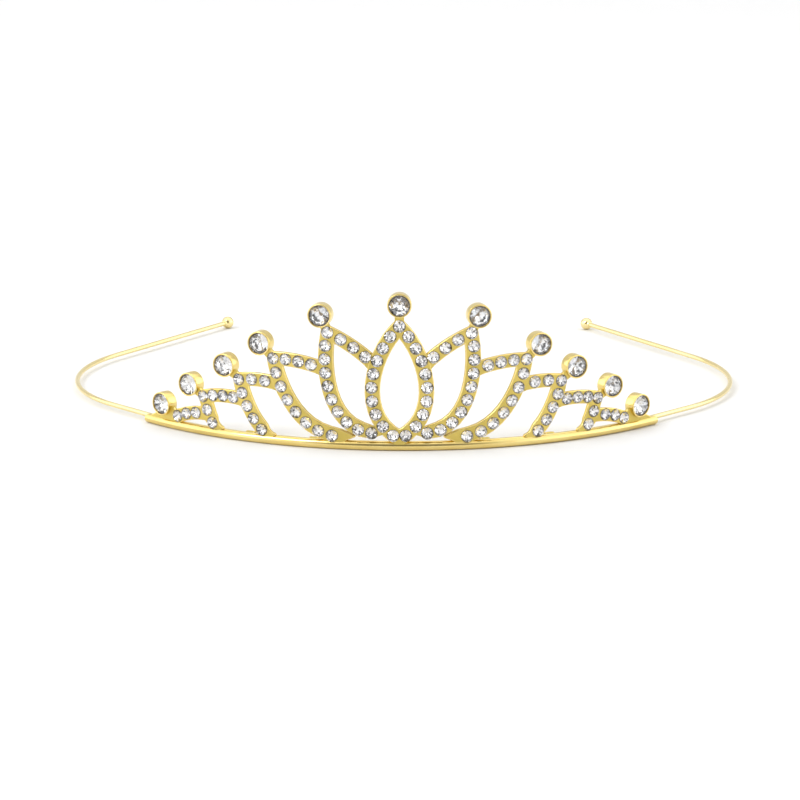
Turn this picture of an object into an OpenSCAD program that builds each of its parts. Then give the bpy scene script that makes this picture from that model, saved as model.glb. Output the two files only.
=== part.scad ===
// Mini crown headband: a pierced crown of overlapping petals, set with round cut stones,
// stands on a half-round rail, and a thin wire band with a ball on each end carries it.
// X runs across the head, the crown faces -Y and stands up along +Z. Sizes are millimetres.

/* [Band] */
// Overall width of the band, over the wire at its widest
band_w = 150; // [140:1:165]
// Depth of the band, from the rail's back at its middle to the centres of the balls
band_depth = 116; // [100:1:125]
// Diameter of the headband wire
wire_d = 1.1; // [0.9:0.05:1.3]
// Plan radius of the bend behind the temple
temple_r = 38; // [32:0.5:42]
// Angle that the wire turns through in that bend
temple_turn = 78.5; // [72:0.5:82]
// Diameter of the ball on each end of the wire
ball_d = 2.9; // [2.4:0.1:3.6]
// Clearance round the wire in a ball
ball_clear = 0.04; // [0.03:0.01:0.1]

/* [Rail] */
// Plan radius of the rail's flat back
rail_r = 77; // [70:0.5:80]
// Half of the angle that the rail spans
rail_half_angle = 45.6; // [42:0.2:50]
// Height of the rail
rail_h = 2; // [1.8:0.1:2.3]
// Depth of the rail, from its flat back to its round front
rail_d = 1.2; // [1.1:0.1:1.4]
// Radius of the upper corner at each end of the rail
rail_end_round = 0.7; // [0.4:0.1:0.9]
// Clearance between the wire and the rail's back
wire_gap = 0.08; // [0.07:0.01:0.12]
// Length of each clip that holds the wire, along the rail
clip_len = 2; // [1.5:0.1:3]
// Wall of a clip
clip_wall = 0.25; // [0.2:0.01:0.3]
// Clearance round the wire in a clip
clip_clear = 0.05; // [0.03:0.01:0.06]

/* [Crown] */
// Height of the top petal stone above the rail's foot
crown_h = 27; // [24:0.2:32]
// Thickness of the middle petal
plate_t = 1.1; // [1:0.05:1.4]
// Amount by which each petal's face lies behind that of its inner neighbour
petal_step = 0.07; // [0.03:0.01:0.08]
// Metal left outside a row of stones
rim_out = 0.2; // [0.15:0.05:0.3]
// Metal left inside an outer row of stones
rim_in = 0.6; // [0.4:0.05:0.8]
// Metal left inside an upper row of stones
rim_upper = 0.3; // [0.2:0.05:0.5]
// Length over which a rib narrows to its foot
foot_len = 3.4; // [2.8:0.1:4]

/* [Petal stones] */
// Diameter of a petal stone
stone_d = 2.5; // [2.3:0.05:2.55]
// Least clearance between neighbouring stones of an upper row
stone_gap = 0.12; // [0.1:0.01:0.15]
// Wanted pitch of the stones in an outer row
outer_pitch = 2.8; // [2.7:0.05:3.2]
// Height of a petal stone's crown
stone_crown = 0.5; // [0.35:0.05:0.7]
// Depth of a petal stone's pavilion
stone_pavilion = 0.55; // [0.45:0.05:0.55]
// Height of the stone's edge above the petal's face
stone_lift = 0.15; // [0.12:0.01:0.2]
// Depth of the seat under a petal stone
seat_depth = 0.5; // [0.45:0.01:0.55]

/* [Finials] */
// Diameter of a finial stone
finial_d = 4.4; // [4:0.1:4.6]
// Clearance round a finial stone in its cup
finial_clear = 0.06; // [0.04:0.01:0.1]
// Wall of a finial cup
cup_wall = 0.3; // [0.25:0.05:0.4]
// Depth of a finial cup over all
cup_depth = 2.5; // [2.4:0.1:3]
// Floor of a finial cup
cup_floor = 0.5; // [0.4:0.05:0.6]
// Height of a cup's rim above the middle petal's face
cup_proud = 0.5; // [0.3:0.05:0.7]
// Width of the neck that joins a petal's tip to its cup
neck_w = 2; // [1.8:0.1:3]

/* [Hidden] */
ROUND_FN = 64;      // sides of a small circle
WIDE_FN = 360;      // sides of a circle as wide as the crown
$fn = ROUND_FN;
// The petals are counted from the middle one, 0, out to the last one on each side, 5
OUTERMOST = 5;
SIDES = [-1, 1];
FINIALS = 2*OUTERMOST + 1;

// One row for each petal, with the columns below. Angles are shares of rail_half_angle,
// and heights are shares of crown_h. The outer rib runs from the tip stone, through two
// handles, down to its foot on the rail. The upper rib runs back from the tip to a joint on
// the inner neighbour's outer rib, which is a share of that rib's length from its tip.
PETALS = [
    [0.000, 1.000, 0.092, 0.803, 0.157, 0.280, 0.000, 0.096, 0.62, 0.00, 0.00, 0.00, 90, 0.27],
    [0.246, 0.937, 0.266, 0.774, 0.275, 0.087, 0.050, 0.144, 1.12, 0.36, 1.16, 0.05, 66, 0.05],
    [0.441, 0.701, 0.442, 0.657, 0.384, 0.032, 0.156, 0.111, 1.89, 0.28, 1.30, 0.05, 45, 0.20],
    [0.573, 0.501, 0.552, 0.280, 0.487, 0.034, 0.437, 0.085, 1.34, 0.22, 1.45, 0.05, 39, 0.24],
    [0.722, 0.320, 0.700, 0.221, 0.702, 0.071, 0.640, 0.082, 1.20, 0.31, 1.16, 0.06, 32, 0.16],
    [0.840, 0.119, 0.867, 0.097, 0.910, 0.087, 0.969, 0.077, 0.00, 0.45, 1.40, 0.06, 26, 0.38]
];
TIP = 0;            // angle and height of the tip stone
HANDLE_A = 2;       // angle and height of the first handle
HANDLE_B = 4;       // angle and height of the second handle
FOOT = 6;           // angle and height of the foot
FOOT_BARE = 8;      // bare length between the last stone and the foot, as a share of stone_d
JOINT = 9;          // share of the inner neighbour's outer rib
JOINT_BARE = 10;    // bare length before the joint, as a share of stone_d
RISE = 11;          // rise of the upper rib above its chord, as a share of its length
FINIAL_TURN = 12;   // direction from the tip stone to the finial, in degrees
FINIAL_OFF = 13;    // clearance between tip stone and cup, as a share of stone_d

// Where the clips sit on each side, as shares of rail_half_angle
CLIPS = [0.3, 0.54, 0.93];

// Proportions of the cut stones, as shares of the radius or of the crown's height
TABLE_SHARE = 0.52;
STAR_SHARE = 0.80;
STAR_RISE = 0.56;
FINIAL_CROWN = 0.34;
FINIAL_PAVILION = 0.62;
FINIAL_GIRDLE = 0.06;
FINIAL_SINK = 0.1;
FACETS = 8;

RIB_STEPS = 14;
MEASURE_STEPS = 40;
WIRE_SHARE = 0.65;  // height of the wire's middle, as a share of the rail's height
OVER = 1;           // how far a cutter runs past a face
DRIVE = 4;          // how far behind the rail's back a petal's outline starts, which covers its bend
SHY = 0.04;         // how far the round of a petal's tip or foot stays inside its ribs' edges
FOOT_TIP = 0.12;    // width left at a foot's tip, as a share of the rib's width
BEAD_SHARE = 1.04;  // width of a bead at a joint of the wire, as a share of the wire's
BORE_SHARE = 0.3;   // depth of a ball's bore past its centre, as a share of its radius

face_r = rail_r + plate_t;
stone_r = stone_d/2;
seat_r = stone_r - stone_lift;
least_pitch = stone_d + stone_gap;
cup_r = finial_d/2 + finial_clear + cup_wall;
cup_front_r = face_r + cup_proud;

wire_r = wire_d/2;
wire_z = WIRE_SHARE*rail_h;
wire_plan_r = rail_r - wire_gap - wire_r;
ball_r = ball_d/2;

// Plan of the wire: an arc behind the rail, a straight lead, the temple bend and a straight tail
lead_start = polar(wire_plan_r, rail_half_angle);
lead_len = (band_w/2 - wire_r - lead_start.x - temple_r*(1 - sin(rail_half_angle)))
    / cos(rail_half_angle);
temple_start = lead_start + lead_len*along(rail_half_angle);
temple_centre = temple_start - polar(temple_r, rail_half_angle);
tail_turn = rail_half_angle + temple_turn;
tail_start = temple_centre + polar(temple_r, tail_turn);
tail_len = (band_depth - rail_r - tail_start.y)/sin(tail_turn);
ball_at = tail_start + tail_len*along(tail_turn);
tail_end = ball_at + (ball_r*BORE_SHARE - ball_clear)*along(tail_turn);

// The band rests on the rail's foot and on the balls, which tips it forward a little
ball_back = ball_at.y + rail_r;
rest_tilt = asin(ball_r/norm([ball_back, wire_z])) - atan2(wire_z, ball_back);

// The origin lies under the middle of the whole, so the two ends of its depth are worked out
finial_girdle_r = cup_front_r - FINIAL_SINK*finial_d/2;
finial_top_r = finial_girdle_r + FINIAL_CROWN*finial_d/2;
front_point = [-(finial_top_r - rail_r), finial_at(0).y + TABLE_SHARE*finial_d/2];
front_y = front_point.x*cos(rest_tilt) - front_point.y*sin(rest_tilt);
back_y = ball_back*cos(rest_tilt) - wire_z*sin(rest_tilt) + ball_r;
origin_shift = -(front_y + back_y)/2;

// Plan point at an angle from the front, on a circle about the crown's axis, and the heading there
function polar(r, a) = [r*sin(a), -r*cos(a)];
function along(a) = [cos(a), sin(a)];

// The crown's face is laid out flat, as a length round the face and a height
function unroll(a) = face_r*a*PI/180;
function roll(x) = x/face_r*180/PI;
function place(row, column) =
    [unroll(row[column]*rail_half_angle), row[column + 1]*crown_h];

function bezier(p, t) =
    pow(1 - t, 3)*p[0] + 3*t*pow(1 - t, 2)*p[1] + 3*t*t*(1 - t)*p[2] + pow(t, 3)*p[3];
function slope(p, t) =
    pow(1 - t, 2)*(p[1] - p[0]) + 2*t*(1 - t)*(p[2] - p[1]) + t*t*(p[3] - p[2]);
function left_of(v) = [-v.y, v.x]/norm(v);

// Lengths along a curve at each of its measuring steps, and the step and place at a length
function lengths(p, i = 1, sum = [0]) = i > MEASURE_STEPS ? sum :
    lengths(p, i + 1, concat(sum, [sum[i - 1]
        + norm(bezier(p, i/MEASURE_STEPS) - bezier(p, (i - 1)/MEASURE_STEPS))]));
function step_at(sums, s) = lookup(s, [for (i = [0 : MEASURE_STEPS]) [sums[i], i]])/MEASURE_STEPS;
function length_of(p) = lengths(p)[MEASURE_STEPS];

// Control points of a petal's outer rib, and of the upper rib that runs to its inner neighbour
function outer_rib(n) = [for (c = [TIP, HANDLE_A, HANDLE_B, FOOT]) place(PETALS[n], c)];
function joint(n) = let (p = outer_rib(n - 1), sums = lengths(p))
    bezier(p, step_at(sums, PETALS[n][JOINT]*sums[MEASURE_STEPS]));
function upper_rib(n) = let (
        from = place(PETALS[n], TIP),
        to = joint(n),
        lift = -left_of(to - from)*norm(to - from)*PETALS[n][RISE]*4/3)
    [from, from + (to - from)/3 + lift, to - (to - from)/3 + lift, to];

// Stone centres of a row that starts at the tip and leaves a bare length at its end. The
// outermost petal's outer rib is bare past its tip stone.
function row_places(p, bare, pitch) = let (
        sums = lengths(p),
        used = sums[MEASURE_STEPS] - bare,
        spaces = floor(used/pitch))
    [for (k = [0 : spaces]) bezier(p, step_at(sums, used*k/spaces))];
function outer_row(n) = n == OUTERMOST ? [place(PETALS[n], TIP)]
    : row_places(outer_rib(n), PETALS[n][FOOT_BARE]*stone_d, outer_pitch);
function upper_row(n) =
    row_places(upper_rib(n), PETALS[n][JOINT_BARE]*stone_d, least_pitch);
function without_first(list) = [for (k = [1 : len(list) - 1]) list[k]];

// All stones of one petal, on one side. The middle petal's tip stone belongs to the right side.
function petal_places(n, side) = [for (p = n == 0
        ? (side > 0 ? outer_row(0) : without_first(outer_row(0)))
        : concat(outer_row(n), without_first(upper_row(n))))
    [side*p.x, p.y]];

function petal_face_r(n) = face_r - n*petal_step;
function tip_reach(n) = cup_r + stone_r + PETALS[n][FINIAL_OFF]*stone_d;
function finial_at(n) = place(PETALS[n], TIP)
    + tip_reach(n)*[cos(PETALS[n][FINIAL_TURN]), sin(PETALS[n][FINIAL_TURN])];

// Point of a cut stone or of a seat: r outwards from the crown's axis, at a place on its face
function ring(count, r, up, turn = 0) =
    [for (k = [0 : count - 1]) [r*cos((k + turn)*360/count), r*sin((k + turn)*360/count), up]];
function turned(v, at, r) = let (a = roll(at.x), out = r + v.z)
    [out*sin(a) + v.x*cos(a), -out*cos(a) + v.x*sin(a), at.y + v.y];

// Petal stone: a table, 8 kites split by 16 edge facets, a sharp edge and a 16-sided pavilion
small_points = concat(
    ring(FACETS, stone_r*TABLE_SHARE, stone_crown),
    ring(2*FACETS, stone_r, 0),
    [[0, 0, -stone_pavilion]]);
small_faces = concat(
    [[for (k = [FACETS - 1 : -1 : 0]) k]],
    [for (k = [0 : FACETS - 1]) each let (
            table = k,
            next = (k + 1)%FACETS,
            below = FACETS + 2*k,
            after = FACETS + 2*k + 1,
            before = FACETS + (2*k + 2*FACETS - 1)%(2*FACETS))
        [[table, below, before], [table, after, below], [table, next, after]]],
    [for (k = [0 : 2*FACETS - 1])
        [3*FACETS, FACETS + k, FACETS + (k + 1)%(2*FACETS)]]);

// Finial stone: a table, 8 star facets, 8 kites, 16 upper facets, a girdle band and a pavilion.
// The rings of points are the table's, the stars', the girdle's upper and lower edges'.
finial_r = finial_d/2;
finial_points = concat(
    ring(FACETS, finial_r*TABLE_SHARE, finial_r*FINIAL_CROWN),
    ring(FACETS, finial_r*STAR_SHARE, finial_r*FINIAL_CROWN*STAR_RISE, 0.5),
    ring(2*FACETS, finial_r, 0),
    ring(2*FACETS, finial_r, -finial_r*FINIAL_GIRDLE),
    [[0, 0, -finial_r*(FINIAL_GIRDLE + FINIAL_PAVILION)]]);
finial_faces = concat(
    [[for (k = [FACETS - 1 : -1 : 0]) k]],
    [for (k = [0 : FACETS - 1]) each let (
            table = k,
            next = (k + 1)%FACETS,
            star = FACETS + k,
            last_star = FACETS + (k + FACETS - 1)%FACETS,
            edge = 2*FACETS + 2*k,
            mid_edge = edge + 1,
            next_edge = 2*FACETS + (2*k + 2)%(2*FACETS))
        [[table, next, star], [table, star, edge, last_star],
            [star, mid_edge, edge], [star, next_edge, mid_edge]]],
    [for (k = [0 : 2*FACETS - 1]) each let (
            next = (k + 1)%(2*FACETS),
            upper = 2*FACETS,
            lower = 4*FACETS)
        [[upper + k, upper + next, lower + next, lower + k], [6*FACETS, lower + k, lower + next]]]);

// Stands a shape drawn on the floor upright against the crown, with its own +Z facing out
module on_face(at, r)
    rotate([0, 0, roll(at.x)]) translate([0, -r, at.y]) rotate([90, 0, 0]) children();

// Puts the whole at rest on the floor, with the origin under its middle
module at_rest() translate([0, origin_shift, 0]) rotate([rest_tilt, 0, 0]) translate([0, rail_r, 0])
    children();

module gold() color([0.87, 0.72, 0.36]) children();
module crystal() color([0.88, 0.90, 0.93]) children();

// Flat outline of a rib, with a width on each side of its line of stones
module rib(p, left_w, right_w, tapered) {
    span = length_of(p);
    sums = lengths(p);
    full = function (t) !tapered ? 1
        : let (left = span - lookup(t*MEASURE_STEPS, [for (i = [0 : MEASURE_STEPS]) [i, sums[i]]]))
            min(1, FOOT_TIP + (1 - FOOT_TIP)*left/foot_len);
    edge = function (t, w) bezier(p, t) + w*full(t)*left_of(slope(p, t));
    polygon(concat(
        [for (i = [0 : RIB_STEPS]) edge(i/RIB_STEPS, left_w)],
        [for (i = [RIB_STEPS : -1 : 0]) edge(i/RIB_STEPS, -right_w)]));
}

// Flat neck from a petal's tip stone to the middle of its finial cup
module neck(n) {
    translate(place(PETALS[n], TIP)) rotate(PETALS[n][FINIAL_TURN])
        translate([0, -neck_w/2]) square([tip_reach(n), neck_w]);
}

// Curved plate that a petal is pierced from
module plate(n) {
    difference() {
        cylinder(r = petal_face_r(n), h = 2*crown_h, $fn = WIDE_FN);
        translate([0, 0, -OVER]) cylinder(r = rail_r, h = 2*crown_h + 2*OVER, $fn = WIDE_FN);
    }
}

// Bends a flat outline round the crown: it is driven straight back through the curved plate
module bent(n) {
    middle = place(PETALS[n], TIP).x;
    intersection() {
        plate(n);
        on_face([middle, 0], rail_r - DRIVE)
            linear_extrude(plate_t + DRIVE + OVER) translate([-middle, 0]) children();
    }
}

// A petal of the right side, or the middle petal. Its pieces overlap and make one solid.
module petal(n) {
    wide = stone_r + rim_in;
    narrow = stone_r + rim_out;
    bent(n) rib(outer_rib(n), narrow, wide, n > 0);
    if (n == 0) bent(n) mirror([1, 0]) rib(outer_rib(n), narrow, wide, false);
    else bent(n) rib(upper_rib(n), stone_r + rim_upper, narrow, false);
    for (end = n == 0 ? [TIP, FOOT] : [TIP])
        bent(n) translate(place(PETALS[n], end)) circle(r = narrow - SHY);
    bent(n) neck(n);
}

// Repeats a piece on the left side, unless it is the middle petal's
module both_sides(n) {
    children();
    if (n > 0) mirror([1, 0, 0]) children();
}

// Section of the rail: round, with a flat back
module rail_section() {
    intersection() {
        translate([rail_d - rail_h/2, rail_h/2]) circle(d = rail_h);
        square(rail_h);
    }
}

module rail() {
    rotate([0, 0, -90 - rail_half_angle]) rotate_extrude(angle = 2*rail_half_angle, $fn = WIDE_FN)
        translate([rail_r, 0]) rail_section($fn = ROUND_FN);
}

// Rounds the rail's upper corner at its right end
module rail_end_cutter() {
    rotate([0, 0, rail_half_angle])
        translate([-rail_end_round, OVER - rail_r, rail_h - rail_end_round])
            rotate([90, 0, 0]) linear_extrude(rail_d + 2*OVER) difference() {
                square(rail_end_round + OVER);
                circle(r = rail_end_round);
            }
}

// A clip is a short sleeve, soldered to the rail's back, that the wire runs through
module clip(a) {
    span = clip_len/wire_plan_r*180/PI;
    rotate([0, 0, a - 90 - span/2]) rotate_extrude(angle = span)
        translate([wire_plan_r, wire_z]) difference() {
            circle(r = wire_r + clip_clear + clip_wall);
            circle(r = wire_r + clip_clear);
        }
}

module cup(n) {
    on_face(finial_at(n), cup_front_r - cup_depth) cylinder(r = cup_r, h = cup_depth);
}

module cup_hollow(n) {
    on_face(finial_at(n), cup_front_r - cup_depth + cup_floor)
        cylinder(r = cup_r - cup_wall, h = cup_depth);
}

module seats(n, side) {
    for (at = petal_places(n, side))
        on_face(at, petal_face_r(n) - seat_depth) cylinder(r = seat_r, h = seat_depth + OVER);
}

// Sinks the seats and the cups of the petals up to number n, one petal after another
module sunk(n) {
    if (n < 0) children();
    else difference() {
        sunk(n - 1) children();
        for (side = SIDES) seats(n, side);
        both_sides(n) cup_hollow(n);
    }
}

module crown_casting() gold() at_rest() difference() {
    sunk(OUTERMOST) union() {
        rail();
        for (n = [0 : OUTERMOST]) both_sides(n) {
            petal(n);
            cup(n);
        }
        for (side = SIDES, share = CLIPS) clip(side*share*rail_half_angle);
    }
    both_sides(1) rail_end_cutter();
}

// A straight stretch of wire from one plan point to another
module straight_wire(from, to) {
    way = to - from;
    translate([from.x, from.y, wire_z]) rotate([0, 0, atan2(way.y, way.x)]) rotate([0, 90, 0])
        cylinder(d = wire_d, h = norm(way));
}

// A bend of wire about a plan point, from one angle on, measured from the front
module bent_wire(centre, r, from, turn) {
    translate([centre.x, centre.y, wire_z]) rotate([0, 0, from - 90])
        rotate_extrude(angle = turn, $fn = WIDE_FN) translate([r, 0]) circle(d = wire_d, $fn = ROUND_FN);
}

// Bead, a hair wider than the wire, that joins two stretches
module joint_bead(at) {
    translate([at.x, at.y, wire_z]) sphere(d = wire_d*BEAD_SHARE);
}

module headband_wire() gold() at_rest() {
    bent_wire([0, 0], wire_plan_r, -rail_half_angle, 2*rail_half_angle);
    both_sides(1) {
        straight_wire(lead_start, temple_start);
        bent_wire(temple_centre, temple_r, rail_half_angle, temple_turn);
        straight_wire(tail_start, tail_end);
        for (at = [lead_start, temple_start, tail_start]) joint_bead(at);
    }
}

// A ball, bored for the end of the wire
module tip_ball() gold() at_rest()
    translate([ball_at.x, ball_at.y, wire_z]) rotate([0, 0, tail_turn]) difference() {
        sphere(d = ball_d);
        rotate([0, -90, 0]) translate([0, 0, -ball_r*BORE_SHARE])
            cylinder(r = wire_r + ball_clear, h = ball_d);
    }

// All petal stones, each clear of the next
module petal_stones() crystal() at_rest() {
    spots = [for (n = [0 : OUTERMOST], side = SIDES, at = petal_places(n, side))
        [at, petal_face_r(n) + stone_lift]];
    count = len(small_points);
    polyhedron(
        points = [for (spot = spots, v = small_points) turned(v, spot[0], spot[1])],
        faces = [for (k = [0 : len(spots) - 1], f = small_faces) [for (v = f) v + k*count]]);
}

// Cut stone of a finial. They are counted from 1, the left end of the crown.
module finial_stone(k) {
    beside = k - 1 - OUTERMOST;
    n = abs(beside);
    place = finial_at(n);
    at = [beside < 0 ? -place.x : place.x, place.y];
    crystal() at_rest() polyhedron(
        points = [for (v = finial_points) turned(v, at, finial_girdle_r)],
        faces = finial_faces);
}

crown_casting();
headband_wire();
mirror([1, 0, 0]) tip_ball();  // tip_ball_left
tip_ball();  // tip_ball_right
petal_stones();
for (k = [1 : FINIALS]) finial_stone(k);
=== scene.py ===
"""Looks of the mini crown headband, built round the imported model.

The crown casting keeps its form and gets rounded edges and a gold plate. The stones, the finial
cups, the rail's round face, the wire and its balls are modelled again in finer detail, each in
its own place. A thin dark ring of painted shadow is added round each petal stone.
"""

import logging
import math
import random
from dataclasses import dataclass
from enum import Enum

import bmesh
import bpy
from mathutils import Matrix, Vector
from mathutils.bvhtree import BVHTree


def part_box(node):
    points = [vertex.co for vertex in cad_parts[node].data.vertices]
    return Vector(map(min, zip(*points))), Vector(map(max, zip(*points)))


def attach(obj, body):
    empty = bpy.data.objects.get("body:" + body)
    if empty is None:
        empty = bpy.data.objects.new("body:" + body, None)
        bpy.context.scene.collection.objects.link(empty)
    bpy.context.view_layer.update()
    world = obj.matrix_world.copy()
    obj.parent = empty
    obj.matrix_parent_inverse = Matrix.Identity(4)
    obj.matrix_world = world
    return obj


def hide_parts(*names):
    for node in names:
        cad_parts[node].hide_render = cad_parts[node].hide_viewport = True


LOG = logging.getLogger("crown_headband")
MM = 0.001
WELD = 1e-6     # metres within which two corners are one
SEED = 20
SMOOTH_BELOW = math.radians(50)     # edges flatter than this are shaded smooth

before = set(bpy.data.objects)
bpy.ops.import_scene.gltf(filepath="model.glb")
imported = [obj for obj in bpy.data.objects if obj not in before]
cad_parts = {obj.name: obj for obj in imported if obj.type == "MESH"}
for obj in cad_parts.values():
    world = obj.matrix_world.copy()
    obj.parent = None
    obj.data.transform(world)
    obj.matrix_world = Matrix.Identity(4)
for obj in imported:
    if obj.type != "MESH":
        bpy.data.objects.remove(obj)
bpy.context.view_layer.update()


class Slot(Enum):
    """Material slots of the record."""

    CAST = "cast_gold"
    WIRE = "wire_gold"
    PETAL = "petal_crystal"
    FINIAL = "finial_crystal"


# Finishes


@dataclass(frozen=True)
class GoldPlate:
    """Gold plate over a casting or a wire, or dark gold as painted shade and painted shadow.

    Colours are linear. Scales are patterns per metre, and depths are metres. Clouds below
    cloud_low take the deep colour, and those above cloud_high the pale one. The rubs that vary
    the roughness have rub_share of the grain's scale.
    """

    name: str
    pale: tuple[float, float, float]
    deep: tuple[float, float, float]
    rough_low: float
    rough_high: float
    cloud_scale: float
    grain_scale: float
    grain_depth: float
    cloud_low: float = 0.35
    cloud_high: float = 0.65
    cloud_detail: float = 3.0
    grain_detail: float = 4.0
    rub_share: float = 0.4
    rub_detail: float = 2.0

    def make(self) -> bpy.types.Material:
        """Makes the material.

        Returns:
            The gold material, which reads Object coordinates.
        """
        material, nodes, links, shader = blank_material(self.name)
        place = nodes.new("ShaderNodeTexCoord").outputs["Object"]
        clouds = noise(nodes, links, place, self.cloud_scale, self.cloud_detail)
        rubs = noise(nodes, links, place, self.grain_scale * self.rub_share, self.rub_detail)
        grain = noise(nodes, links, place, self.grain_scale, self.grain_detail)
        ramp = nodes.new("ShaderNodeValToRGB")
        ramp.color_ramp.elements[0].position = self.cloud_low
        ramp.color_ramp.elements[0].color = (*self.deep, 1)
        ramp.color_ramp.elements[1].position = self.cloud_high
        ramp.color_ramp.elements[1].color = (*self.pale, 1)
        links.new(clouds, ramp.inputs["Fac"])
        links.new(ramp.outputs["Color"], shader.inputs["Base Color"])
        shader.inputs["Metallic"].default_value = 1.0
        rough = nodes.new("ShaderNodeMapRange")
        rough.inputs["To Min"].default_value = self.rough_low
        rough.inputs["To Max"].default_value = self.rough_high
        links.new(rubs, rough.inputs["Value"])
        links.new(rough.outputs["Result"], shader.inputs["Roughness"])
        bump = nodes.new("ShaderNodeBump")
        bump.inputs["Strength"].default_value = 1.0
        bump.inputs["Distance"].default_value = self.grain_depth
        links.new(grain, bump.inputs["Height"])
        links.new(bump.outputs["Normal"], shader.inputs["Normal"])
        return material


@dataclass(frozen=True)
class CutGlass:
    """Clear glass of a stone's crown."""

    name: str
    tint: tuple[float, float, float]
    ior: float
    roughness: float
    cloud_scale: float = 700
    cloud_detail: float = 2.0
    cloud_shade: float = 0.97

    def make(self) -> bpy.types.Material:
        """Makes the material.

        Returns:
            The glass material, with faint clouds in its tint.
        """
        material, nodes, links, shader = blank_material(self.name)
        place = nodes.new("ShaderNodeTexCoord").outputs["Object"]
        ramp = nodes.new("ShaderNodeValToRGB")
        shade = (self.cloud_shade * part for part in self.tint)
        ramp.color_ramp.elements[0].color = (*shade, 1)
        ramp.color_ramp.elements[1].color = (*self.tint, 1)
        clouds = noise(nodes, links, place, self.cloud_scale, self.cloud_detail)
        links.new(clouds, ramp.inputs["Fac"])
        links.new(ramp.outputs["Color"], shader.inputs["Base Color"])
        shader.inputs["Roughness"].default_value = self.roughness
        shader.inputs["IOR"].default_value = self.ior
        shader.inputs["Transmission Weight"].default_value = 1.0
        return material


@dataclass(frozen=True)
class Foil:
    """Silver foil on the back of a stone, with a painted reflection tone on each facet.

    Its shine is the share that mirrors; the rest is matt.
    """

    name: str
    shine: float
    roughness: float

    def make(self) -> bpy.types.Material:
        """Makes the material.

        Returns:
            The foil material, which reads the facets' tone.
        """
        material, nodes, links, shader = blank_material(self.name)
        tone = nodes.new("ShaderNodeAttribute")
        tone.attribute_name = FACET_REFLECTION_TONE
        links.new(tone.outputs["Color"], shader.inputs["Base Color"])
        shader.inputs["Metallic"].default_value = self.shine
        shader.inputs["Roughness"].default_value = self.roughness
        return material


@dataclass(frozen=True)
class PaperFloor:
    """Matt white paper under and behind the object."""

    name: str
    colour: tuple[float, float, float]
    roughness: float = 0.9
    specular: float = 0.1

    def make(self) -> bpy.types.Material:
        """Makes the material.

        Returns:
            The paper material.
        """
        material, nodes, links, shader = blank_material(self.name)
        shader.inputs["Base Color"].default_value = (*self.colour, 1)
        shader.inputs["Roughness"].default_value = self.roughness
        shader.inputs["Specular IOR Level"].default_value = self.specular
        return material


# Painted reflections: the tone on each facet's corners stands in for what the foil would mirror.
FACET_REFLECTION_TONE = "painted_facet_reflection"     # the colour of each facet's corners, which the foil reads

CAST_GOLD = GoldPlate(
    "cast_gold_plate", pale=(0.72, 0.555, 0.15), deep=(0.60, 0.465, 0.115),
    rough_low=0.34, rough_high=0.46, cloud_scale=160, grain_scale=2400, grain_depth=0.018 * MM,
)
# The rounded edges of the casting take a paler, smoother gold than its faces.
RIM_GOLD = GoldPlate(
    "pale_gold_rim", pale=(0.92, 0.73, 0.30), deep=(0.85, 0.65, 0.23),
    rough_low=0.18, rough_high=0.28, cloud_scale=200, grain_scale=2400, grain_depth=0.006 * MM,
)
BRIGHT_GOLD = GoldPlate(
    "bright_gold_plate", pale=(0.88, 0.70, 0.28), deep=(0.82, 0.63, 0.22),
    rough_low=0.12, rough_high=0.20, cloud_scale=120, grain_scale=1500, grain_depth=0.004 * MM,
)
WIRE_GOLD = GoldPlate(
    "wire_gold_plate", pale=(0.94, 0.79, 0.40), deep=(0.90, 0.74, 0.34),
    rough_low=0.12, rough_high=0.20, cloud_scale=90, grain_scale=1800, grain_depth=0.005 * MM,
)
# Painted shade: a dark gold for the insides of the finial cups, where shade falls.
CUP_SHADE_PAINT = GoldPlate(
    "painted_cup_shade", pale=(0.40, 0.26, 0.09), deep=(0.30, 0.19, 0.06),
    rough_low=0.30, rough_high=0.42, cloud_scale=160, grain_scale=2400, grain_depth=0.006 * MM,
)
# Painted shadow: a dark ring round each petal stone stands in for the shade in the stone's seat.
SEAT_SHADOW_PAINT = GoldPlate(
    "painted_seat_shadow", pale=(0.16, 0.10, 0.04), deep=(0.09, 0.055, 0.02),
    rough_low=0.45, rough_high=0.60, cloud_scale=200, grain_scale=2400, grain_depth=0.006 * MM,
)
PETAL_GLASS = CutGlass("petal_stone_glass", tint=(0.98, 0.97, 0.98), ior=1.54, roughness=0.0)
FINIAL_GLASS = CutGlass("finial_stone_glass", tint=(0.99, 0.99, 1.0), ior=1.54, roughness=0.0)
PETAL_FOIL = Foil("petal_stone_foil", shine=0.88, roughness=0.04)
FINIAL_FOIL = Foil("finial_stone_foil", shine=0.85, roughness=0.04)
PAPER = PaperFloor("white_paper", colour=(0.77, 0.77, 0.77))


# Helpers


def blank_material(
    name: str,
) -> tuple[bpy.types.Material, bpy.types.Nodes, bpy.types.NodeLinks, bpy.types.ShaderNode]:
    """Makes a material that has only its main shader.

    Args:
        name: Name of the material.

    Returns:
        The material, its nodes, its links and its main shader.
    """
    material = bpy.data.materials.new(name)
    material.use_nodes = True
    nodes = material.node_tree.nodes
    return material, nodes, material.node_tree.links, nodes["Principled BSDF"]


def noise(
    nodes: bpy.types.Nodes,
    links: bpy.types.NodeLinks,
    place: bpy.types.NodeSocket,
    scale: float,
    detail: float,
) -> bpy.types.NodeSocket:
    """Adds a noise pattern.

    Args:
        nodes: Nodes of the material.
        links: Links of the material.
        place: Coordinates that the pattern reads.
        scale: Patterns per metre.
        detail: Layers of finer pattern.

    Returns:
        The pattern's value.
    """
    pattern = nodes.new("ShaderNodeTexNoise")
    pattern.inputs["Scale"].default_value = scale
    pattern.inputs["Detail"].default_value = detail
    links.new(place, pattern.inputs["Vector"])
    return pattern.outputs["Fac"]


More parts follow.
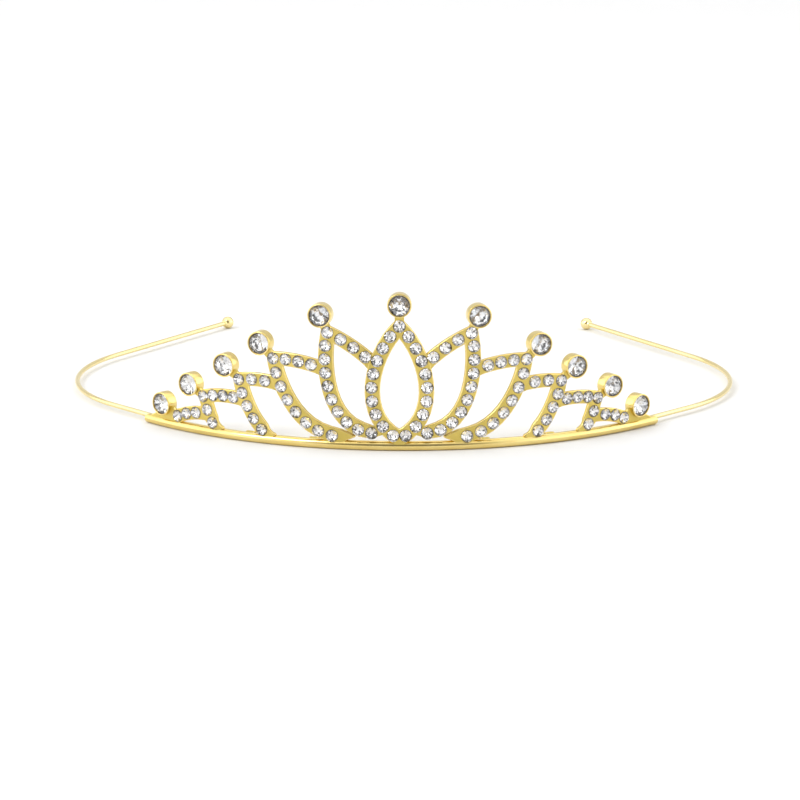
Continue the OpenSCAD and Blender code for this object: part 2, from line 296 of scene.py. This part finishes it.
def add_piece(
    name: str,
    bm: bmesh.types.BMesh,
    materials: list[bpy.types.Material],
    replaced: tuple[str, ...] = (),
    smooth_angle: float = 0.0,
) -> bpy.types.Object:
    """Turns a mesh into a piece that rides on the body.

    Args:
        name: Name of the piece.
        bm: Mesh of the piece, which is freed.
        materials: Materials of the piece, in the order of its faces' indices.
        replaced: CAD nodes that the piece stands for.
        smooth_angle: Least angle of an edge that stays sharp, or 0 for flat faces.

    Returns:
        The piece.
    """
    if smooth_angle:
        for face in bm.faces:
            face.smooth = True
        for edge in bm.edges:
            edge.smooth = edge.is_manifold and edge.calc_face_angle(0.0) < smooth_angle
    mesh = bpy.data.meshes.new(name)
    bm.to_mesh(mesh)
    bm.free()
    for material in materials:
        mesh.materials.append(material)
    piece = bpy.data.objects.new(name, mesh)
    bpy.context.scene.collection.objects.link(piece)
    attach(piece, "root")
    if replaced:
        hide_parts(*replaced)
    LOG.info("%s: %d faces", name, len(mesh.polygons))
    return piece


def revolve(points: list[tuple[float, float]], steps: int, place: Matrix) -> bmesh.types.BMesh:
    """Turns a profile about the Z axis into a closed form.

    Args:
        points: Radius and height of each point of the profile, from axis to axis or round to
            its start.
        steps: Steps of the turn.
        place: Where the form goes.

    Returns:
        The form.
    """
    bm = bmesh.new()
    verts = [bm.verts.new((r, 0.0, z)) for r, z in points]
    edges = [bm.edges.new(pair) for pair in zip(verts, verts[1:])]
    bmesh.ops.spin(
        bm, geom=verts + edges, cent=(0, 0, 0), axis=(0, 0, 1), dvec=(0, 0, 0),
        angle=2 * math.pi, steps=steps, use_merge=True,
    )
    bmesh.ops.remove_doubles(bm, verts=bm.verts, dist=WELD)
    bmesh.ops.recalc_face_normals(bm, faces=bm.faces)
    bmesh.ops.transform(bm, matrix=place, verts=bm.verts)
    return bm


def arc(
    middle: tuple[float, float], radius: float, start: float, end: float, steps: int
) -> list[tuple[float, float]]:
    """Lists points on an arc.

    Args:
        middle: Centre of the arc.
        radius: Radius of the arc.
        start: First angle, in degrees.
        end: Last angle, in degrees.
        steps: Number of steps.

    Returns:
        The points, both ends among them.
    """
    turns = [math.radians(start + (end - start) * k / steps) for k in range(steps + 1)]
    return [(middle[0] + radius * math.cos(a), middle[1] + radius * math.sin(a)) for a in turns]


def join_into(target: bmesh.types.BMesh, part: bmesh.types.BMesh) -> None:
    """Adds one mesh to another.

    Args:
        target: Mesh that grows.
        part: Mesh that is added, which is freed.
    """
    mesh = bpy.data.meshes.new("part")
    part.to_mesh(mesh)
    part.free()
    target.from_mesh(mesh)
    bpy.data.meshes.remove(mesh)


def edges_of(made: list) -> list[bmesh.types.BMEdge]:
    """Picks the edges out of an operator's result."""
    return [item for item in made if isinstance(item, bmesh.types.BMEdge)]


def verts_of(made: list) -> list[bmesh.types.BMVert]:
    """Picks the corners out of an operator's result."""
    return [item for item in made if isinstance(item, bmesh.types.BMVert)]


# Where things are

RING_SHARE = 0.97   # corners at this share of a stone's reach or more belong to its edge


@dataclass(frozen=True)
class Seat:
    """Place of a cut stone: the middle of its edge, and the way that its table faces."""

    middle: Vector
    out: Vector

    def matrix(self, turn: float = 0.0) -> Matrix:
        """Gives the stone's place, with +Z out of its table.

        Args:
            turn: Turn of the stone about its own axis, in radians.

        Returns:
            The matrix from the stone's own frame.
        """
        side = Vector((0, 0, 1)).cross(self.out).normalized()
        up = self.out.cross(side)
        basis = Matrix((side, up, self.out)).transposed().to_4x4()
        return Matrix.Translation(self.middle) @ basis @ Matrix.Rotation(turn, 4, "Z")


def find_seats(node: str) -> list[Seat]:
    """Reads the places of the stones from a CAD node.

    Args:
        node: Name of the node, which holds one or more loose stones.

    Returns:
        The seats, from left to right.
    """
    bm = bmesh.new()
    bm.from_mesh(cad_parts[node].data)
    bmesh.ops.remove_doubles(bm, verts=bm.verts, dist=WELD)
    seen: set[bmesh.types.BMVert] = set()
    seats = []
    for start in bm.verts:
        if start in seen:
            continue
        seen.add(start)
        stone = [start]
        for vert in stone:
            for edge in vert.link_edges:
                other = edge.other_vert(vert)
                if other not in seen:
                    seen.add(other)
                    stone.append(other)
        culet = max(stone, key=lambda v: len(v.link_edges)).co.copy()
        mean = sum((v.co for v in stone), Vector()) / len(stone)
        out = (mean - culet).normalized()
        reach = [((v.co - culet) - (v.co - culet).dot(out) * out).length for v in stone]
        edge_ring = [v.co for v, far in zip(stone, reach) if far > RING_SHARE * max(reach)]
        heights = [(co - culet).dot(out) for co in edge_ring]
        seats.append(Seat(culet + out * max(heights), out))
    bm.free()
    return sorted(seats, key=lambda seat: (seat.middle.x, seat.middle.z))


@dataclass(frozen=True)
class CrownPlace:
    """The band's main sizes, and how the crown's own frame stands on the floor.

    The balls of the CAD model give its tilt and its shift. The half angle is in degrees.
    """

    rail_r: float = 77 * MM
    half_angle: float = 45.6
    band_depth: float = 116 * MM
    wire_z: float = 1.3 * MM

    def matrix(self) -> Matrix:
        """Gives the matrix from the crown's own frame, whose axis is Z.

        Returns:
            The matrix.
        """
        low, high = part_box("tip_ball_right")
        ball_r = (high.z - low.z) / 2
        tilt = math.asin(ball_r / math.hypot(self.band_depth, self.wire_z)) - math.atan2(
            self.wire_z, self.band_depth
        )
        back = self.band_depth * math.cos(tilt) - self.wire_z * math.sin(tilt)
        shift = (low.y + high.y) / 2 - back
        return (
            Matrix.Translation((0, shift, 0))
            @ Matrix.Rotation(tilt, 4, "X")
            @ Matrix.Translation((0, self.rail_r, 0))
        )


# Sub-assemblies


@dataclass
class CrownCasting:
    """The casting: a merged copy of its CAD mesh, with its outer edges rounded.

    An edge takes a round only where the faces beside it are open over room_share of the round's
    width, at each tested share of its length. A spot held a skin above a face has to lie within
    skin_share of that skin from the solid.
    """

    petal_seats: list[Seat]
    finial_seats: list[Seat]
    edge_round: float = 0.2 * MM
    fine_round: float = 0.06 * MM
    round_steps: int = 3
    sharp_angle: float = math.radians(40)
    flat_angle: float = math.radians(0.3)
    seat_reach: float = 1.2 * MM
    cup_reach: float = 2.66 * MM
    near: float = 4 * MM
    skin: float = 0.01 * MM
    skin_share: float = 1.5
    room_share: float = 1.15
    tested: tuple[float, ...] = (0.05, 0.5, 0.95)

    def build(self) -> bpy.types.Object:
        """Rounds the edges, the long ones first.

        Returns:
            The casting.
        """
        bm = bmesh.new()
        bm.from_mesh(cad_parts["crown_casting"].data)
        bmesh.ops.remove_doubles(bm, verts=bm.verts, dist=WELD)
        bmesh.ops.dissolve_degenerate(bm, dist=2 * WELD, edges=bm.edges)
        bmesh.ops.dissolve_limit(bm, angle_limit=self.flat_angle, verts=bm.verts, edges=bm.edges)
        for size in (self.edge_round, self.fine_round):
            solid = BVHTree.FromBMesh(bm)
            taken = [edge for edge in bm.edges if self.takes(edge, size, solid)]
            rounds = bmesh.ops.bevel(
                bm, geom=taken, offset=size, offset_type="OFFSET", segments=self.round_steps,
                profile=0.5, affect="EDGES", clamp_overlap=False, material=-1,
            )
            for face in rounds["faces"]:
                face.material_index = 1
        piece = add_piece(
            "gilt_casting", bm, [CAST_GOLD.make(), RIM_GOLD.make()],
            ("crown_casting",), self.sharp_angle,
        )
        piece.modifiers.new("flat_faces", "WEIGHTED_NORMAL").keep_sharp = True
        return piece

    def takes(self, edge: bmesh.types.BMEdge, size: float, solid: BVHTree) -> bool:
        """Tells whether an edge can be rounded.

        Args:
            edge: Edge of the casting.
            size: Width that the round takes on each side of the edge.
            solid: The casting, as a tree of its faces.

        Returns:
            Whether it stands out, shows, and has room on both sides.
        """
        if not edge.is_manifold or edge.calc_face_angle_signed(0.0) < self.sharp_angle:
            return False
        middle = (edge.verts[0].co + edge.verts[1].co) / 2
        if self.beside(middle, self.petal_seats, self.seat_reach):
            return False
        if size > self.fine_round and self.beside(middle, self.finial_seats, self.cup_reach):
            return False
        start, end = edge.verts[0].co, edge.verts[1].co
        spots = [start.lerp(end, share) for share in self.tested]
        return all(
            self.has_room(loop, spot, size, solid) for loop in edge.link_loops for spot in spots
        )

    def beside(self, spot: Vector, seats: list[Seat], reach: float) -> bool:
        """Tells whether a spot lies beside one of the seats.

        Args:
            spot: The spot.
            seats: The seats.
            reach: How far from a seat's axis counts as beside it.

        Returns:
            Whether it does.
        """
        for seat in seats:
            way = spot - seat.middle
            if way.length < self.near and way.cross(seat.out).length < reach:
                return True
        return False

    def has_room(
        self, loop: bmesh.types.BMLoop, start: Vector, size: float, solid: BVHTree
    ) -> bool:
        """Tells whether the face beside an edge is open over the width of its round.

        Args:
            loop: The edge's loop in that face.
            start: Spot on the edge.
            size: Width of the round.
            solid: The casting, as a tree of its faces.

        Returns:
            Whether a spot just above the face, past the round, lies just outside the casting.
        """
        normal = loop.face.normal
        along = (loop.link_loop_next.vert.co - loop.vert.co).normalized()
        spot = start + normal.cross(along) * size * self.room_share + normal * self.skin
        nearest, facing, _, far = solid.find_nearest(spot)
        return far < self.skin * self.skin_share and (spot - nearest).dot(facing) > 0


@dataclass
class Rail:
    """The rail's round face, a hair proud of the casting."""

    place: CrownPlace
    height: float = 2 * MM
    depth: float = 1.2 * MM
    proud: float = 0.015 * MM
    end_round: float = 0.7 * MM
    end_steps: int = 8
    section_steps: int = 24
    arc_steps: int = 120
    smooth_below: float = math.radians(40)

    def build(self) -> bpy.types.Object:
        """Sweeps the rail's section round the crown's axis.

        Returns:
            The rail's face.
        """
        rail_r, half = self.place.rail_r, math.radians(self.place.half_angle)
        radius = self.height / 2 + self.proud
        middle = rail_r + self.depth - self.height / 2
        cut = math.degrees(math.acos(-(middle - rail_r - self.proud) / radius))
        bm = bmesh.new()
        section = arc((middle, self.height / 2), radius, -cut, cut, self.section_steps)
        verts = [bm.verts.new((r, 0.0, z)) for r, z in section]
        edges = [bm.edges.new((verts[k - 1], verts[k])) for k in range(len(verts))]
        first = Matrix.Rotation(-math.pi / 2 - half, 4, "Z")
        bmesh.ops.transform(bm, matrix=first, verts=verts)
        end_angle = self.end_round / rail_r
        ends = [verts + edges]
        for angle, steps in (
            (end_angle, self.end_steps),
            (2 * half - 2 * end_angle, self.arc_steps),
            (end_angle, self.end_steps),
        ):
            swept = bmesh.ops.spin(
                bm, geom=ends[-1], cent=(0, 0, 0), axis=(0, 0, 1), dvec=(0, 0, 0),
                angle=angle, steps=steps,
            )
            ends.append(swept["geom_last"])
        for end in (ends[0], ends[-1]):
            bmesh.ops.contextual_create(bm, geom=edges_of(end))
        for vert in bm.verts:
            left = self.end_round - rail_r * (half - abs(math.atan2(vert.co.x, -vert.co.y)))
            if left > 0:
                drop = self.end_round - math.sqrt(max(0.0, self.end_round**2 - left**2))
                vert.co.z = min(vert.co.z, self.height + self.proud - drop)
        bmesh.ops.recalc_face_normals(bm, faces=bm.faces)
        bmesh.ops.transform(bm, matrix=self.place.matrix(), verts=bm.verts)
        return add_piece(
            "rail_face", bm, [BRIGHT_GOLD.make()], smooth_angle=self.smooth_below
        )


@dataclass
class FinialCups:
    """Eleven round cups with rolled rims, a painted shade inside and a dish under each stone.

    Heights are measured from the edge of the stone. The wall leaves open_share of the clearance
    round the stone, and the rim's roll is centred roll lips below the rim. The dish starts
    dish_top below the stone's edge and is dish radii deep. The dish and the inner side of the
    lip, up to shaded lips from the stone, take a dark gold that is painted shade.
    """

    seats: list[Seat]
    stone_r: float = 2.2 * MM
    clear: float = 0.06 * MM
    wall: float = 0.3 * MM
    depth: float = 2.5 * MM
    sink: float = 0.22 * MM
    proud: float = 0.015 * MM
    corner: float = 0.25 * MM
    dish_top: float = 0.35 * MM
    dish: float = 0.68
    open_share: float = 0.5
    roll: float = 0.9
    shaded: float = 0.45
    corner_steps: int = 4
    lip_steps: int = 8
    steps: int = 56

    def build(self) -> bpy.types.Object:
        """Turns each cup's wall about its stone's axis.

        Returns:
            The cups, in one piece.
        """
        outer = self.stone_r + self.clear + self.wall + self.proud
        inner = self.stone_r + self.clear * self.open_share
        lip = (outer - inner) / 2
        rim = self.sink + self.proud
        back = self.sink - self.depth - self.proud
        bend = (outer - self.corner, back + self.corner)
        profile = (
            [(0.0, back)]
            + arc(bend, self.corner, -90, 0, self.corner_steps)
            + arc((outer - lip, rim - lip * self.roll), lip, 0, 180, self.lip_steps)
            + [(inner, -self.dish_top), (0.0, -self.dish_top - self.stone_r * self.dish)]
        )
        whole = bmesh.new()
        for seat in self.seats:
            cup = revolve(profile, self.steps, Matrix())
            for face in cup.faces:
                spot = face.calc_center_median()
                # Painted shade: the inner side of the lip and the dish take the dark gold.
                if spot.xy.length < inner + lip * self.shaded:
                    face.material_index = int(spot.z > back / 2)
            bmesh.ops.transform(cup, matrix=seat.matrix(), verts=cup.verts)
            join_into(whole, cup)
        return add_piece(
            "finial_cups", whole, [BRIGHT_GOLD.make(), CUP_SHADE_PAINT.make()],
            smooth_angle=SMOOTH_BELOW,
        )


@dataclass
class SeatShadowRings:
    """A dark ring of painted shadow under the edge of each petal stone, on the casting's face.

    The face lies a lift below the stone's edge. The line stands proud of it and is sunk in it.
    """

    seats: list[Seat]
    inner: float = 1.12 * MM
    outer: float = 1.35 * MM
    lift: float = 0.15 * MM
    proud: float = 0.012 * MM
    sunk: float = 0.05 * MM
    steps: int = 24

    def build(self) -> bpy.types.Object:
        """Turns each line's section about its stone's axis.

        Returns:
            The lines, in one piece.
        """
        top, foot = self.proud - self.lift, -self.sunk - self.lift
        section = [(self.inner, top), (self.outer, top), (self.outer, foot), (self.inner, foot)]
        # Painted shadow: each ring is a dark sheet laid where the seat is in shade.
        whole = bmesh.new()
        for seat in self.seats:
            join_into(whole, revolve(section + section[:1], self.steps, seat.matrix()))
        return add_piece("painted_seat_shadow_rings", whole, [SEAT_SHADOW_PAINT.make()])


@dataclass
class CutStones:
    """Brilliant-cut stones on their seats.

    Heights and rings are shares of the radius. The lower ring lies at the knee, a share of the
    pavilion's depth, below which its facets are flatter. Facets whose middles lie deeper than
    foil_from girdles are foil. A dark_share of the facets is near dark_tone, and the rest has a
    tone from bright_tone up to 1. These tones are painted reflections, dark and bright.
    """

    name: str
    node_names: tuple[str, ...]
    slot: Slot
    glass: CutGlass
    foil: Foil
    radius: float
    crown: float
    pavilion: float
    table: float = 0.54
    star: float = 0.78
    star_rise: float = 0.60
    girdle: float = 0.05
    lower: float = 0.30
    facets: int = 8
    knee: float = 0.74
    foil_from: float = 1.2
    flat_angle: float = math.radians(1.0)
    dark_share: float = 0.16
    dark_tone: float = 0.28
    dark_spread: tuple[float, float] = (0.5, 1.5)
    bright_tone: float = 0.88
    tint_reach: float = 0.03

    def cut(self, rng: random.Random, place: Matrix) -> bmesh.types.BMesh:
        """Cuts one stone as the hull of its rings of corners.

        Args:
            rng: Source of the facets' tones.
            place: Where the stone goes.

        Returns:
            The stone, with a tone on each facet.
        """
        bm = bmesh.new()
        half = math.pi / self.facets
        rings = (
            (self.facets, self.table, self.crown, 0.0),
            (self.facets, self.star, self.crown * self.star_rise, half),
            (2 * self.facets, 1.0, 0.0, 0.0),
            (2 * self.facets, 1.0, -self.girdle, 0.0),
            (self.facets, self.lower, -self.girdle - self.pavilion * self.knee, half),
        )
        for count, reach, height, turn in rings:
            at = Matrix.Translation((0, 0, height * self.radius)) @ Matrix.Rotation(turn, 4, "Z")
            bmesh.ops.create_circle(bm, segments=count, radius=self.radius * reach, matrix=at)
        bm.verts.new((0, 0, -(self.girdle + self.pavilion) * self.radius))
        bmesh.ops.delete(bm, geom=bm.edges[:], context="EDGES_FACES")
        bmesh.ops.convex_hull(bm, input=bm.verts)
        bmesh.ops.dissolve_limit(bm, angle_limit=self.flat_angle, verts=bm.verts, edges=bm.edges)
        bmesh.ops.recalc_face_normals(bm, faces=bm.faces)
        tone = bm.loops.layers.float_color.new(FACET_REFLECTION_TONE)
        for face in bm.faces:
            behind = face.calc_center_median().z < -self.girdle * self.radius * self.foil_from
            face.material_index = int(behind)
            # Painted reflections: each facet takes a random dark or bright tone that stands in for
            # what it mirrors.
            if rng.random() < self.dark_share:
                value = rng.uniform(*self.dark_spread) * self.dark_tone
            else:
                value = rng.uniform(self.bright_tone, 1.0)
            tint = rng.uniform(-self.tint_reach, self.tint_reach)
            for loop in face.loops:
                loop[tone] = (value * (1 + tint), value, value * (1 - tint), 1.0)
        bmesh.ops.transform(bm, matrix=place, verts=bm.verts)
        return bm

    def build(self, seats: list[Seat]) -> bpy.types.Object:
        """Sets a stone on each seat.

        Args:
            seats: Places of the stones.

        Returns:
            The stones, in one piece.
        """
        rng = random.Random(SEED)
        whole = bmesh.new()
        for seat in seats:
            join_into(whole, self.cut(rng, seat.matrix(rng.uniform(0, math.pi))))
        return add_piece(
            self.name, whole, [self.glass.make(), self.foil.make()], self.node_names
        )


@dataclass
class HeadbandWire:
    """The wire: an arc behind the rail, a lead, the temple bend and a tail, on each side."""

    place: CrownPlace
    band_w: float = 150 * MM
    wire_d: float = 1.1 * MM
    wire_gap: float = 0.08 * MM
    temple_r: float = 38 * MM
    temple_turn: float = 78.5
    sides: int = 20
    rail_steps: int = 40
    temple_steps: int = 44

    def plan_radius(self) -> float:
        """Gives the plan radius of the arc behind the rail."""
        return self.place.rail_r - self.wire_gap - self.wire_d / 2

    def spots(self) -> dict[str, Vector]:
        """Works out the plan of the wire's right side.

        Returns:
            Plan points by name, and the way of the tail.
        """
        half = math.radians(self.place.half_angle)
        turn = math.radians(self.place.half_angle + self.temple_turn)
        lead = self.plan_radius() * Vector((math.sin(half), -math.cos(half), 0))
        reach = self.band_w / 2 - self.wire_d / 2 - lead.x - self.temple_r * (1 - math.sin(half))
        temple = lead + reach / math.cos(half) * Vector((math.cos(half), math.sin(half), 0))
        middle = temple - self.temple_r * Vector((math.sin(half), -math.cos(half), 0))
        tail = middle + self.temple_r * Vector((math.sin(turn), -math.cos(turn), 0))
        way = Vector((math.cos(turn), math.sin(turn), 0))
        length = (self.place.band_depth - self.place.rail_r - tail.y) / way.y
        ball = tail + length * way
        return {
            "lead": lead, "temple": temple, "middle": middle, "tail": tail, "way": way,
            "ball": ball,
        }

    def build(self) -> bpy.types.Object:
        """Runs the wire's round section along its plan, and mirrors it.

        Returns:
            The wire.
        """
        spots = self.spots()
        bm = bmesh.new()
        front = Matrix.Translation((0, -self.plan_radius(), self.place.wire_z))
        start = front @ Matrix.Rotation(math.pi / 2, 4, "Y")
        bmesh.ops.create_circle(bm, segments=self.sides, radius=self.wire_d / 2, matrix=start)
        ring = self.bend(bm, bm.edges[:], Vector(), self.place.half_angle, self.rail_steps)
        ring = self.run(bm, ring, spots["temple"] - spots["lead"])
        ring = self.bend(bm, ring, spots["middle"], self.temple_turn, self.temple_steps)
        ring = self.run(bm, ring, spots["ball"] - spots["tail"])
        bmesh.ops.contextual_create(bm, geom=ring)
        half = bm.verts[:] + bm.edges[:] + bm.faces[:]
        bmesh.ops.mirror(bm, geom=half, axis="X", merge_dist=WELD)
        bmesh.ops.recalc_face_normals(bm, faces=bm.faces)
        bmesh.ops.transform(bm, matrix=self.place.matrix(), verts=bm.verts)
        return add_piece(
            "gold_wire", bm, [WIRE_GOLD.make()], ("headband_wire",), SMOOTH_BELOW
        )

    def bend(
        self,
        bm: bmesh.types.BMesh,
        ring: list[bmesh.types.BMEdge],
        middle: Vector,
        turn: float,
        steps: int,
    ) -> list[bmesh.types.BMEdge]:
        """Carries the wire's end round a bend.

        Args:
            bm: Mesh of the wire.
            ring: Edges of its open end.
            middle: Plan centre of the bend.
            turn: Angle of the bend, in degrees.
            steps: Steps of the bend.

        Returns:
            Edges of the new end.
        """
        verts = list({vert for edge in ring for vert in edge.verts})
        made = bmesh.ops.spin(
            bm, geom=verts + ring, cent=middle, axis=(0, 0, 1), dvec=(0, 0, 0),
            angle=math.radians(turn), steps=steps,
        )
        return edges_of(made["geom_last"])

    def run(
        self, bm: bmesh.types.BMesh, ring: list[bmesh.types.BMEdge], way: Vector
    ) -> list[bmesh.types.BMEdge]:
        """Carries the wire's end straight on.

        Args:
            bm: Mesh of the wire.
            ring: Edges of its open end.
            way: Length and direction of the run.

        Returns:
            Edges of the new end.
        """
        made = bmesh.ops.extrude_edge_only(bm, edges=ring)["geom"]
        bmesh.ops.translate(bm, vec=way, verts=verts_of(made))
        return edges_of(made)


@dataclass
class TipBalls:
    """A ball on each end of the wire, with a small collar of solder.

    The collar starts where the ball's radius has come down to collar_r. It narrows in a hollow,
    round a point that is hollow_out wider than that and hollow_up above its end, and closes on
    the wire. Radii at its end are shares of the wire's.
    """

    wire: HeadbandWire
    ball_d: float = 2.9 * MM
    collar_r: float = 0.78 * MM
    collar_reach: float = 1.72 * MM
    hollow_out: float = 0.10 * MM
    hollow_up: float = 0.12 * MM
    hollow_r: float = 0.2 * MM
    hollow_from: float = 140
    hollow_to: float = 200
    skirt: float = 0.02 * MM
    skirt_share: float = 1.03
    mouth_share: float = 0.9
    ball_steps: int = 26
    hollow_steps: int = 4
    steps: int = 40

    def build(self) -> None:
        """Turns the ball about the wire's way on each side."""
        spots = self.wire.spots()
        radius, wire_r = self.ball_d / 2, self.wire.wire_d / 2
        open_at = math.degrees(math.asin(self.collar_r / radius))
        end = -self.collar_reach
        hollow = (self.collar_r + self.hollow_out, end + self.hollow_up)
        profile = (
            [(0.0, radius)]
            + arc((0.0, 0.0), radius, 90, -90 + open_at, self.ball_steps)[1:]
            + arc(hollow, self.hollow_r, self.hollow_from, self.hollow_to, self.hollow_steps)
            + [(wire_r * self.skirt_share, end - self.skirt), (wire_r * self.mouth_share, end)]
            + [(0.0, end)]
        )
        material = WIRE_GOLD.make()
        for side, name in ((-1, "left"), (1, "right")):
            way = Vector((side * spots["way"].x, spots["way"].y, 0))
            spot = Vector((side * spots["ball"].x, spots["ball"].y, self.wire.place.wire_z))
            turn = way.to_track_quat("Z", "Y").to_matrix().to_4x4()
            place = self.wire.place.matrix() @ Matrix.Translation(spot) @ turn
            bm = revolve(profile, self.steps, place)
            add_piece(
                f"gold_ball_{name}", bm, [material], (f"tip_ball_{name}",), SMOOTH_BELOW
            )


# Studio


@dataclass(frozen=True)
class SoftBox:
    """A soft box: its place, the width and height of its face, and its power in watts."""

    name: str
    spot: tuple[float, float, float]
    size: tuple[float, float]
    power: float

    def hang(self, aim: Vector) -> None:
        """Hangs the box so that it faces a point.

        Args:
            aim: The point.
        """
        lamp = bpy.data.lights.new(self.name, "AREA")
        lamp.shape = "RECTANGLE"
        lamp.size, lamp.size_y = self.size
        lamp.energy = self.power
        holder = bpy.data.objects.new(self.name, lamp)
        holder.location = self.spot
        holder.rotation_euler = (aim - Vector(self.spot)).to_track_quat("-Z", "Y").to_euler()
        bpy.context.scene.collection.objects.link(holder)


TOP_BOX = SoftBox("top_box", (0.0, 0.45, 1.6), (2.4, 2.0), 5)
LEFT_BOX = SoftBox("left_box", (-0.7, -0.6, 0.9), (0.5, 0.5), 5)


@dataclass
class Studio:
    """Pale paper floor that rises behind, soft lights and the camera.

    Lengths are metres, except for the lens and the sensor, which are millimetres, and angles are
    degrees. The room is bright all round and brighter at its sides. Round dark_way it fades to
    dark, between the cosines dark_from and dark_to, so that the foil has something dark to
    mirror.
    """

    elevation: float = 14.0
    yaw: float = 0.9
    distance: float = 0.70
    lens: float = 148.0
    sensor: float = 36.0
    near_end: float = 0.01
    aim: tuple[float, float, float] = (0.0, -0.050, 0.009)
    dark_way: tuple[float, float, float] = (0.0, -0.94, 0.34)
    dark_from: float = 0.78
    dark_to: float = 0.96
    room_light: float = 1.15
    side_light: float = 2.1
    side_from: float = 0.5
    dark_light: float = 0.25
    paper_front: float = -2.2
    paper_back: float = 1.3
    paper_bend: float = 0.5
    paper_width: float = 6.0
    paper_top: float = 2.2
    paper_steps: int = 24

    def floor(self) -> None:
        """Lays the paper and bends it up behind the object."""
        bm = bmesh.new()
        line = (
            [(self.paper_front, 0.0)]
            + arc(
                (self.paper_back, self.paper_bend), self.paper_bend, -90, 0, self.paper_steps
            )
            + [(self.paper_back + self.paper_bend, self.paper_top)]
        )
        verts = [bm.verts.new((-self.paper_width / 2, y, z)) for y, z in line]
        edges = [bm.edges.new(pair) for pair in zip(verts, verts[1:])]
        made = bmesh.ops.extrude_edge_only(bm, edges=edges)["geom"]
        bmesh.ops.translate(bm, vec=(self.paper_width, 0, 0), verts=verts_of(made))
        for face in bm.faces:
            face.smooth = True
        mesh = bpy.data.meshes.new("paper_floor")
        bm.to_mesh(mesh)
        bm.free()
        mesh.materials.append(PAPER.make())
        paper = bpy.data.objects.new("paper_floor", mesh)
        bpy.context.scene.collection.objects.link(paper)

    def room(self) -> None:
        """Sets the light all round."""
        world = bpy.data.worlds.new("studio_room")
        world.use_nodes = True
        nodes, links = world.node_tree.nodes, world.node_tree.links
        way = nodes.new("ShaderNodeTexCoord")
        forward = nodes.new("ShaderNodeVectorMath")
        forward.operation = "DOT_PRODUCT"
        forward.inputs[1].default_value = self.dark_way
        links.new(way.outputs["Generated"], forward.inputs[0])
        split = nodes.new("ShaderNodeSeparateXYZ")
        links.new(way.outputs["Generated"], split.inputs["Vector"])
        aside = nodes.new("ShaderNodeMath")
        aside.operation = "ABSOLUTE"
        links.new(split.outputs["X"], aside.inputs[0])
        sides = nodes.new("ShaderNodeMapRange")
        sides.interpolation_type = "SMOOTHSTEP"
        sides.inputs["From Min"].default_value = self.side_from
        sides.inputs["To Min"].default_value = self.room_light
        sides.inputs["To Max"].default_value = self.side_light
        links.new(aside.outputs["Value"], sides.inputs["Value"])
        room = nodes.new("ShaderNodeMapRange")
        room.interpolation_type = "SMOOTHSTEP"
        room.inputs["From Min"].default_value = self.dark_from
        room.inputs["From Max"].default_value = self.dark_to
        links.new(sides.outputs["Result"], room.inputs["To Min"])
        room.inputs["To Max"].default_value = self.dark_light
        links.new(forward.outputs["Value"], room.inputs["Value"])
        background = nodes["Background"]
        background.inputs["Color"].default_value = (1, 1, 1, 1)
        links.new(room.outputs["Result"], background.inputs["Strength"])
        bpy.context.scene.world = world

    def camera(self) -> None:
        """Places the camera in front of the crown, a little above the floor."""
        data = bpy.data.cameras.new("photo_camera")
        data.lens = self.lens
        data.sensor_width = self.sensor
        data.clip_start = self.near_end
        eye = bpy.data.objects.new("photo_camera", data)
        up, side = math.radians(self.elevation), math.radians(self.yaw)
        back = Vector((math.sin(side) * math.cos(up), -math.cos(side) * math.cos(up), math.sin(up)))
        eye.location = Vector(self.aim) + self.distance * back
        eye.rotation_euler = (-back).to_track_quat("-Z", "Y").to_euler()
        bpy.context.scene.collection.objects.link(eye)
        bpy.context.scene.camera = eye

    def build(self) -> None:
        """Sets up the whole studio."""
        self.floor()
        for box in (TOP_BOX, LEFT_BOX):
            box.hang(Vector(self.aim))
        self.room()
        self.camera()
        bpy.context.scene.view_settings.view_transform = "Standard"


def main() -> None:
    """Builds and dresses the headband."""
    logging.basicConfig(level=logging.INFO, format="%(message)s")
    place = CrownPlace()
    finial_names = tuple(f"finial_stone_{k}" for k in range(1, 12))
    finial_seats = [seat for name in finial_names for seat in find_seats(name)]
    petal_seats = find_seats("petal_stones")
    CrownCasting(petal_seats, finial_seats).build()
    Rail(place).build()
    FinialCups(finial_seats).build()
    SeatShadowRings(petal_seats).build()
    CutStones(
        "petal_brilliants", ("petal_stones",), Slot.PETAL, PETAL_GLASS, PETAL_FOIL,
        radius=1.29 * MM, crown=0.40, pavilion=0.42,
    ).build(petal_seats)
    CutStones(
        "finial_brilliants", finial_names, Slot.FINIAL, FINIAL_GLASS, FINIAL_FOIL,
        radius=2.22 * MM, crown=0.34, pavilion=0.56, dark_share=0.08, dark_tone=0.45,
    ).build(finial_seats)
    wire = HeadbandWire(place)
    wire.build()
    TipBalls(wire).build()
    Studio().build()


if __name__ == "__main__":
    main()
